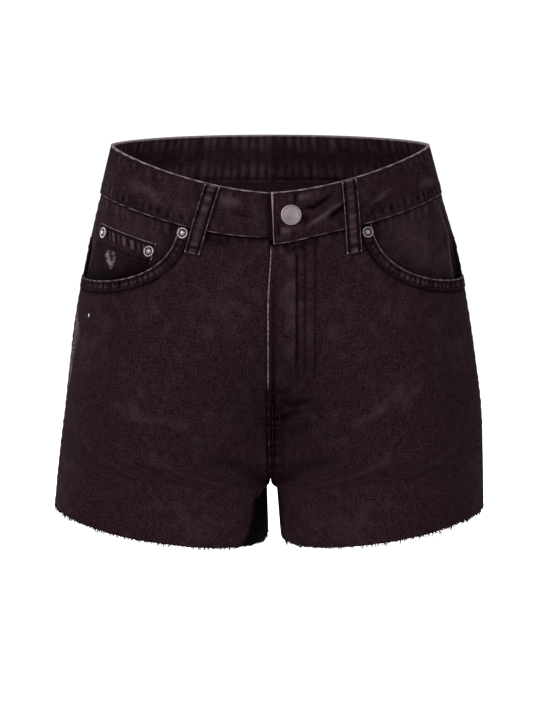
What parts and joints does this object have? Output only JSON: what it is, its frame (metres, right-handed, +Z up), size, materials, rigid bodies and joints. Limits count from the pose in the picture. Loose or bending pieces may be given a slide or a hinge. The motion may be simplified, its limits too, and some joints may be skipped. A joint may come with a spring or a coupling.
{
  "type": "denim shorts",
  "caption": "High-waisted black denim cut-off shorts with scooped front pockets, a coin pocket, a buttoned waistband with belt loops, rivets and a raw frayed hem.",
  "frame": {"origin": "middle of the waist, inside the waistband, where the wearer holds the garment", "axes": "+X to the wearer's left, +Y to the back, +Z up towards the waist"},
  "size_m": [0.3698, 0.2383, 0.3403],
  "materials": {
    "denim": "matte washed black denim",
    "denim_light": "matte washed black denim, a little more worn",
    "thread": "matte cotton thread",
    "silver": "satin"
  },
  "bodies": {
    "root": {"waistband": "denim_light", "front_left": "denim", "front_right": "denim", "back_left": "denim", "back_right": "denim", "yoke_left": "denim", "yoke_right": "denim", "fly_facing": "denim", "fly_shield": "denim", "pocket_facing_left": "denim_light", "pocket_facing_right": "denim_light", "coin_pocket": "denim", "back_pocket_left": "denim", "back_pocket_right": "denim", "belt_loop_front_left": "denim_light", "belt_loop_front_right": "denim_light", "belt_loop_side_left": "denim_light", "belt_loop_side_right": "denim_light", "belt_loop_back": "denim_light", "hem_fray_left": "thread", "hem_fray_right": "thread", "button": "silver", "rivet_left": "silver", "rivet_right": "silver", "rivet_coin_inner": "silver", "rivet_coin_outer": "silver"}
  },
  "joints": []
}
